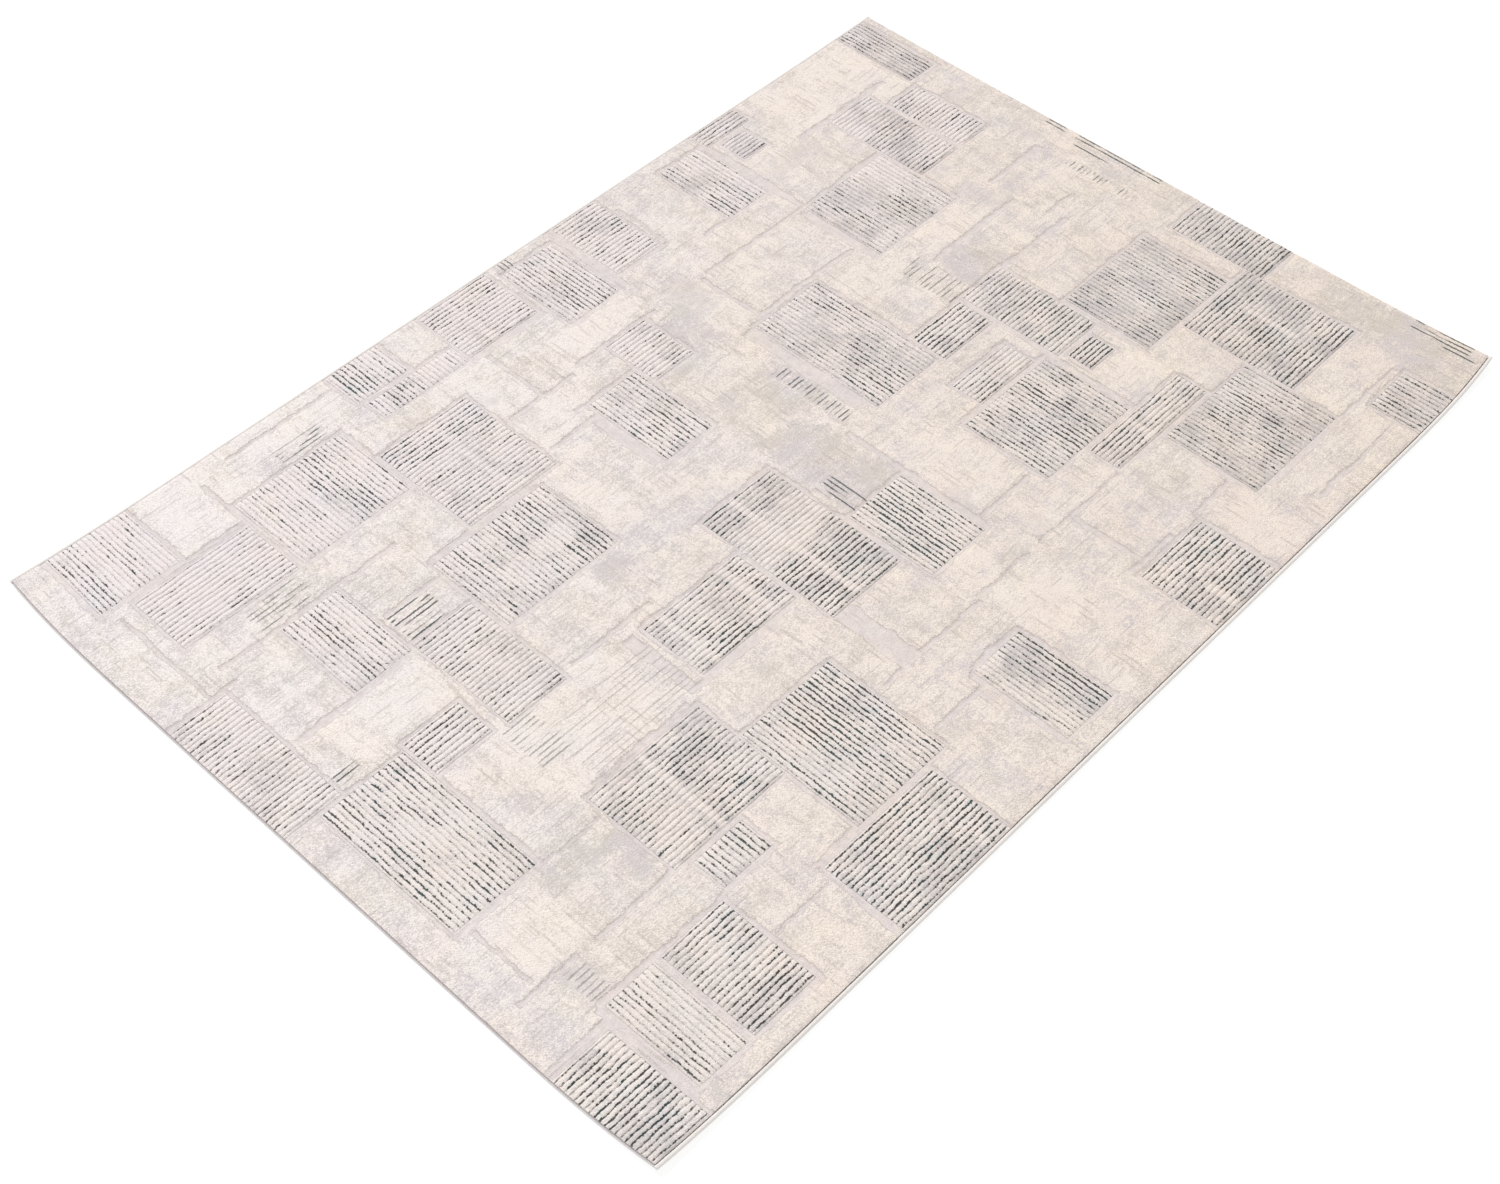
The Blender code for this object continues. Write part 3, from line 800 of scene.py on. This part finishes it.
ink = (place.grain(13.0, 3.0, 0.6) + uneven * 0.1 - 0.05).step(0.40, 0.60).mixed(INK_GREEN, INK_BROWN)
# Where strokes fade, the furrow keeps a pale grey line: painted shade in the furrow. Where they are strong,
# it is the dark yarn.
ink_and_furrow_shade = stroke.mixed(yarn(204, 196, 193), ink)
line_shows = dye.step(-0.25, 0.05)
# Grey where the tuft relief is low is painted shade between tufts; the per-tuft part is the yarn's own random
# tone.
colour = (tuft_chance * tuft_chance * 0.26 + (1 - tufts) * 0.18).mixed(cream, SCRATCH_AND_SHADE_GREY)
colour = greyed.mixed(colour, RIB_GREY)
colour = (heaviest * place.grain(40.0, 3.0).step(0.4, 0.7) * 0.5).mixed(colour, RIB_GREEN)
# The 0.3 in this mix keeps painted shade in every furrow, even where no dark yarn lies.
colour = graded_tint(place, (furrow * line_shows * (stroke * 0.65 + 0.3)).mixed(colour, ink_and_furrow_shade))
finish_material(surface, colour, tufts - furrow * 0.6, 0.0010)


def weave_block(number, node, run_axis, base, grey, heavy=(), faded=()):
    """Weave one block: the height of its ribs, how they waver and lean, and its dye."""
    low, high = BLOCKS[node]
    start, end = (low.y, high.y) if run_axis == ACROSS else (low.x, high.x)
    rib_count = round((end - start) / RIB_PITCH)
    pitch = (end - start) / rib_count

    def height(x, y):
        across = y if run_axis == ACROSS else x
        part = np.modf((across - start) / pitch)[0]
        notch = np.exp(-((part - 0.5) / FURROW_WIDTH) ** 2)
        shoulder = 1 - ease(depth_inside(x, y, sides(low, high)), -0.0005, 0.0032)
        tufted = 0.0004 * hills(x, y, 0.005, 41) + 0.0003 * hills(x, y, 0.015, 42)
        return high.z + CREST_RISE - np.maximum(FURROW_DEPTH * notch, SHOULDER_DEPTH * shoulder) - tufted

    def shift(x, y):
        run_at, across = (x, y) if run_axis == ACROSS else (y, x)
        waver = hills(run_at, across * 2.2, 0.026, 51) + 0.6 * hills(run_at * 2.6, across * 2.2, 0.026, 52)
        waver = (waver - 0.8) * RIB_WOBBLE * ease(depth_inside(x, y, sides(low, high)), 0, 0.007)
        lean = splay(x, y)[1]
        return (0 * x, waver + lean) if run_axis == ACROSS else (waver, lean)

    def marks(x, y):
        run_at, across = (x, y) if run_axis == ACROSS else (y, x)
        dye = base + 0.34 * (hills(x, y, 0.055, 61) - 0.5) + 0.24 * (hills(x, y, 0.024, 62) - 0.5)
        soil = grey + 0.5 * (hills(x, y, 0.045, 63) - 0.5)
        dye = dye + 0.32 * patchwork(x, y, heavy, 0.010)
        for gap in faded:
            if min(gap[1] - gap[0], gap[3] - gap[2]) < NARROW_GAP:
                cover = ease(depth_inside(x, y, plan_box(*gap)), -0.0025, 0.0035)
            else:
                cover = 0.55 * patchwork(x, y, [gap], 0.014)
            dye = dye - 0.75 * cover
            soil = soil - 0.5 * cover
        return {"rib": (across - start) / pitch, "run": run_at + 3.7 * number, "dye": dye, "soil": soil}

    ribs = [start + (rib_number + part) * pitch for rib_number in range(rib_count) for part in RIB_LINES]
    rib_cuts = np.array([*ribs, end]), [0, len(ribs)]
    if run_axis == ACROSS:
        columns, rows = cuts(low.x, high.x, [], RUN_STEP), rib_cuts
    else:
        columns, rows = rib_cuts, cuts(low.y, high.y, [], RUN_STEP)
    block = lay_layer(f"ribs_{number:02d}", columns, rows, low.z, height,
                      ribbed_yarn, (), shift, marks)
    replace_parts(block, node)


for number, (node, dye_row) in enumerate(zip(BLOCKS, BLOCK_DYE), start=1):
    weave_block(number, node, *dye_row)

# --- Edge cords and overcasting ---
# Each long side is bound over a three-strand cotton filler cord. Pale yarn is wrapped round and
# round the cord and through the edge of the ground cloth, each turn lying close to the last.

TURN_PITCH = 0.0028
RINGS_PER_TURN = 4
ROUND_POINTS = 14
LINING_RINGS = 60
LINING_GAP = 0.0003
GROOVE_DEPTH = 0.0006
STRANDS = 3
STRAND_TWIST = 0.016
CORD_RINGS = 560
CORD_POINTS = 12


def tube_faces(numbers, flip=False):
    """The faces of a tube through rings of point numbers, and their places on its map."""
    following = np.roll(numbers, -1, axis=1)
    ring = [numbers[:-1], numbers[1:], following[1:], following[:-1]]
    count, around = numbers.shape
    along_map = np.linspace(0, 1, count)[:, None] * np.ones(around)
    round_map = np.arange(around)[None, :] / around * np.ones((count, 1))
    next_map = round_map + 1 / around
    corners = [(along_map[:-1], round_map[:-1]), (along_map[1:], round_map[1:]),
               (along_map[1:], next_map[1:]), (along_map[:-1], next_map[:-1])]
    order = (3, 2, 1, 0) if flip else (0, 1, 2, 3)
    faces = np.stack([ring[n] for n in order], axis=-1).reshape(-1, 4)
    places = np.stack([np.stack(corners[n], axis=-1) for n in order], axis=2).reshape(-1, 2)
    return faces, places


def ring_points(centre_x, centre_z, radius, ys, angles):
    """Rings of points round a line along the rug."""
    y, angle = np.meshgrid(ys, angles, indexing="ij")
    return np.stack([centre_x + radius * np.cos(angle), y, centre_z + radius * np.sin(angle)], axis=-1)


def make_bar(name, rings, material, flip=False):
    """Make a bar through rings of points, closed at both ends."""
    numbers = np.arange(rings[..., 0].size).reshape(rings.shape[:2])
    faces, places = tube_faces(numbers, flip)
    ends = (numbers[0][::-1], numbers[-1]) if flip else (numbers[0], numbers[-1][::-1])
    ends_on_map = [np.full((rings.shape[1], 2), spot) for spot in (0.01, 0.99)]
    return make_piece(name, rings.reshape(-1, 3), [faces, *ends], [places, *ends_on_map], material)


filler_cotton, surface, place = new_material("filler_cord", 0.92, 0.2, 0.2)
fibres = place.stretched(500.0, 60.0, 500.0).grain(1.0, 3.0)
finish_material(surface, fibres.mixed(yarn(214, 206, 194), yarn(238, 232, 222)), fibres, 0.0004)

overcast_wool, surface, place = new_material("overcast_yarn", 0.9, 0.3, 0.2)
fibres = place.stretched(160.0, 900.0, 160.0).grain(1.0, 3.0)
soiled = place.grain(12.0, 3.0).step(0.45, 0.8)
wrapped = fibres.mixed(yarn(222, 216, 212), yarn(244, 240, 236))
finish_material(surface, (soiled * 0.4).mixed(wrapped, yarn(228, 219, 213)), fibres, 0.0004)

for side in ("left", "right"):
    low, high = node_box(f"{side}_edge_cord")
    centre_x, centre_z, radius = (low.x + high.x) / 2, (low.z + high.z) / 2, (high.z - low.z) / 2
    angles = np.arange(CORD_POINTS) / CORD_POINTS * math.tau
    ys = np.linspace(low.y, high.y, CORD_RINGS)
    strands = np.cos(STRANDS / 2 * (angles[None, :] - ys[:, None] / STRAND_TWIST * math.tau / STRANDS))
    twisted = ring_points(centre_x, centre_z, radius * (0.80 + 0.20 * np.abs(strands)), ys, angles)
    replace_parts(make_bar(f"{side}_filler_cord", twisted, filler_cotton), f"{side}_edge_cord")

    low, high = node_box(f"{side}_edge_overcast")
    outer = (high.z - low.z) / 2
    turns = round((high.y - low.y) / TURN_PITCH)
    count = turns * RINGS_PER_TURN + 1
    angles = np.arange(ROUND_POINTS) / ROUND_POINTS * math.tau
    ys = np.linspace(low.y, high.y, count)
    slope = 1 if side == "left" else -1
    phase = (ys[:, None] - low.y) / (high.y - low.y) * turns + slope * angles[None, :] / math.tau
    turn_size = 0.00035 * hills(phase, 0 * phase, 0.9, 71)
    wrap = np.abs(np.sin(math.pi * phase)) ** 0.6
    shell = outer - GROOVE_DEPTH * (1 - wrap) - turn_size
    centre_z = (low.z + high.z) / 2
    outside = ring_points(centre_x, centre_z, shell, ys, angles)
    lining_ys = np.linspace(low.y, high.y, LINING_RINGS)
    inside = ring_points(centre_x, centre_z, radius + LINING_GAP, lining_ys, angles)
    outside_numbers = np.arange(count * ROUND_POINTS).reshape(count, ROUND_POINTS)
    inside_numbers = np.arange(LINING_RINGS * ROUND_POINTS).reshape(LINING_RINGS, ROUND_POINTS)
    inside_numbers += outside_numbers.size
    outside_faces, outside_places = tube_faces(outside_numbers)
    inside_faces, inside_places = tube_faces(inside_numbers, flip=True)
    first_faces, first_places = tube_faces(np.stack([inside_numbers[0], outside_numbers[0]]))
    last_faces, last_places = tube_faces(np.stack([outside_numbers[-1], inside_numbers[-1]]))
    overcast = make_piece(
        f"{side}_overcasting", np.concatenate([outside.reshape(-1, 3), inside.reshape(-1, 3)]),
        [outside_faces, inside_faces, first_faces, last_faces],
        [outside_places * (1, 0.9), inside_places * (1, 0.03) + (0, 0.92),
         first_places * (1, 0.02) + (0, 0.96), last_places * (1, 0.02) + (0, 0.98)],
        overcast_wool,
    )
    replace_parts(overcast, f"{side}_edge_overcast")

# --- Hems ---
# A narrow band of pale woven tape folded round each short end, a short lip on top and a deeper
# one under the rug, held by one row of straight stitches through the top lip.

HEM_STEP = 0.004
STITCH_PITCH = 0.0044
STITCH_LENGTH = 0.0037
STITCH_RINGS = 6
STITCH_POINTS = 6
STITCH_RISE = 0.00075
THREAD_RADIUS = 0.0003
TAPE_THICKNESS = 0.0010
FOLD_RADIUS = 0.0016
FOLD_POINTS = 5

hem_tape, surface, place = new_material("hem_cloth", 0.9, 0.25, 0.2)
tape_weave = weave_grid(place, 0.0012, 0.0016)
slubs = place.stretched(30.0, 260.0, 260.0).grain(1.0, 3.0)
worn = place.grain(16.0, 3.0).step(0.4, 0.75)
tape = (tape_weave * 0.5 + slubs * 0.5).mixed(yarn(208, 201, 202), yarn(238, 233, 232))
finish_material(surface, (worn * 0.35).mixed(tape, yarn(206, 199, 198)), tape_weave + slubs, 0.0003)

hem_cotton, surface, place = new_material("hem_thread", 0.8, 0.2, 0.3)
fibres = place.stretched(300.0, 1500.0, 1500.0).grain(1.0, 2.0)
finish_material(surface, fibres.mixed(yarn(222, 216, 214), yarn(246, 243, 240)), fibres, 0.0002)


def hem_profile(outer, inward, low_z, high_z, top_lip, under_lip):
    """The outline of the folded tape, seen from its end, as places across the rug's end and up."""
    radius = min(FOLD_RADIUS, (high_z - low_z) / 2)
    turn = np.linspace(0, math.pi / 2, FOLD_POINTS)
    over = [(outer + inward * (radius - radius * math.sin(a)), high_z - radius + radius * math.cos(a))
            for a in turn]
    beneath = [(outer + inward * (radius - radius * math.cos(a)), low_z + radius - radius * math.sin(a))
               for a in turn]
    lip = [(outer + inward * reach, high_z) for reach in np.linspace(top_lip, radius, 6)[:-1]]
    tuck = [(outer + inward * reach, low_z) for reach in np.linspace(radius, under_lip, 8)[1:]]
    inner_low, inner_high = low_z + TAPE_THICKNESS, high_z - TAPE_THICKNESS
    back = [(outer + inward * under_lip, inner_low), (outer + inward * TAPE_THICKNESS, inner_low),
            (outer + inward * TAPE_THICKNESS, inner_high), (outer + inward * top_lip, inner_high)]
    return np.array(lip + over + beneath + tuck + back)


for end, inward in (("near", 1), ("far", -1)):
    low, high = node_box(f"{end}_end_hem")
    stitch_low, stitch_high = node_box(f"{end}_hem_stitch")
    stitch_y = (stitch_low.y + stitch_high.y) / 2
    outer = low.y if inward > 0 else high.y
    top_lip = 2 * abs(stitch_y - outer)
    profile = hem_profile(outer, inward, low.z, high.z, top_lip, high.y - low.y)
    count = round((high.x - low.x) / HEM_STEP) + 1
    xs = np.linspace(low.x, high.x, count)
    folded = np.zeros((count, len(profile), 3))
    folded[:, :, 0] = xs[:, None]
    folded[:, :, 1], folded[:, :, 2] = profile[:, 0], profile[:, 1]
    on_top = profile[:, 1] > high.z - 1.1 * TAPE_THICKNESS
    puckered = 0.00025 * (hills(folded[:, :, 0], folded[:, :, 1], 0.009, 81) - 0.5)
    pulled = 0.0002 * np.exp(-((folded[:, :, 1] - stitch_y) / 0.0014) ** 2)
    folded[:, :, 2] += on_top * (puckered - 0.00012 - pulled)
    hem = make_bar(f"{end}_hem_tape", folded, hem_tape, flip=inward < 0)
    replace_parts(hem, f"{end}_end_hem")

    stitch_count = int((stitch_high.x - stitch_low.x) / STITCH_PITCH)
    start, share, angle = np.meshgrid(stitch_low.x + 0.0004 + STITCH_PITCH * np.arange(stitch_count),
                                      np.linspace(0, 1, STITCH_RINGS),
                                      np.arange(STITCH_POINTS) / STITCH_POINTS * math.tau, indexing="ij")
    bow = np.sin(math.pi * share)
    thick = THREAD_RADIUS * (0.55 + 0.45 * bow)
    x = start + STITCH_LENGTH * share
    y = stitch_y + thick * 1.45 * np.cos(angle)
    z = high.z - 0.0001 + STITCH_RISE * bow + thick * np.sin(angle)
    points = np.stack([x, y, z], axis=-1).reshape(-1, 3)
    faces, places = [], []
    for stitch, numbers in enumerate(np.arange(x.size).reshape(x.shape)):
        ring, on_map = tube_faces(numbers, flip=True)
        faces += [ring, numbers[0], numbers[-1][::-1]]
        strip = (0.9 / stitch_count, 1.0)
        corner = (stitch / stitch_count, 0.0)
        middle = np.full((STITCH_POINTS, 2), 0.5) * strip + corner
        places += [on_map * strip + corner, middle, middle]
    stitches = make_piece(f"{end}_hem_stitches", points, faces, places, hem_cotton)
    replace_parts(stitches, f"{end}_hem_stitch")

# --- How the cloth lies ---
# The pile is tied into the ground cloth and the edges are sewn to it, and it lies flat on
# its latex coat.

# --- Floor, light and camera ---
# A plain white floor that glows a little, as a lit studio sweep does, a bright even sky, and one
# broad soft lamp on the left that shades the walls of channels and furrows facing away from it.

CAMERA_PLACE = Vector((1.8312, -2.0306, 2.9475))
CAMERA_AIM = Vector((0.1476, -0.2475, 0.0))
LAMP_DIRECTION = Vector((0.72, -0.20, -0.70))

FLOOR_REACH = 9.0
FLOOR_HEIGHT = -0.0002

floor_mesh = bpy.data.meshes.new("floor")
floor_corners = [(x, y, FLOOR_HEIGHT) for x, y in ((-FLOOR_REACH, -FLOOR_REACH), (FLOOR_REACH, -FLOOR_REACH),
                                                   (FLOOR_REACH, FLOOR_REACH), (-FLOOR_REACH, FLOOR_REACH))]
floor_mesh.from_pydata(floor_corners, [], [(0, 1, 2, 3)])
floor_paint, surface, place = new_material("floor_paint", 0.9, 0.0, 0.1)
surface.inputs["Base Color"].default_value = (0.30, 0.30, 0.30, 1.0)
surface.inputs["Emission Color"].default_value = (1.0, 1.0, 1.0, 1.0)
surface.inputs["Emission Strength"].default_value = 0.75
floor_mesh.materials.append(floor_paint)
put_in_scene("floor", floor_mesh)

sky = bpy.data.worlds.new("soft_sky")
sky.use_nodes = True
glow = sky.node_tree.nodes["Background"].inputs
glow["Color"].default_value = (1.0, 1.0, 1.0, 1.0)
glow["Strength"].default_value = 0.74
bpy.context.scene.world = sky

lamp_light = bpy.data.lights.new("broad_lamp", "SUN")
lamp_light.energy = 1.75
lamp_light.angle = math.radians(38)
lamp = put_in_scene("broad_lamp", lamp_light)
lamp.rotation_euler = LAMP_DIRECTION.to_track_quat("-Z", "Y").to_euler()

camera_lens = bpy.data.cameras.new("camera")
camera_lens.lens = 52.79
camera_lens.sensor_width = 36.0
camera = put_in_scene("camera", camera_lens)
camera.location = CAMERA_PLACE
camera.rotation_euler = (CAMERA_AIM - CAMERA_PLACE).to_track_quat("-Z", "Y").to_euler()
bpy.context.scene.camera = camera
bpy.context.scene.view_settings.view_transform = "Standard"
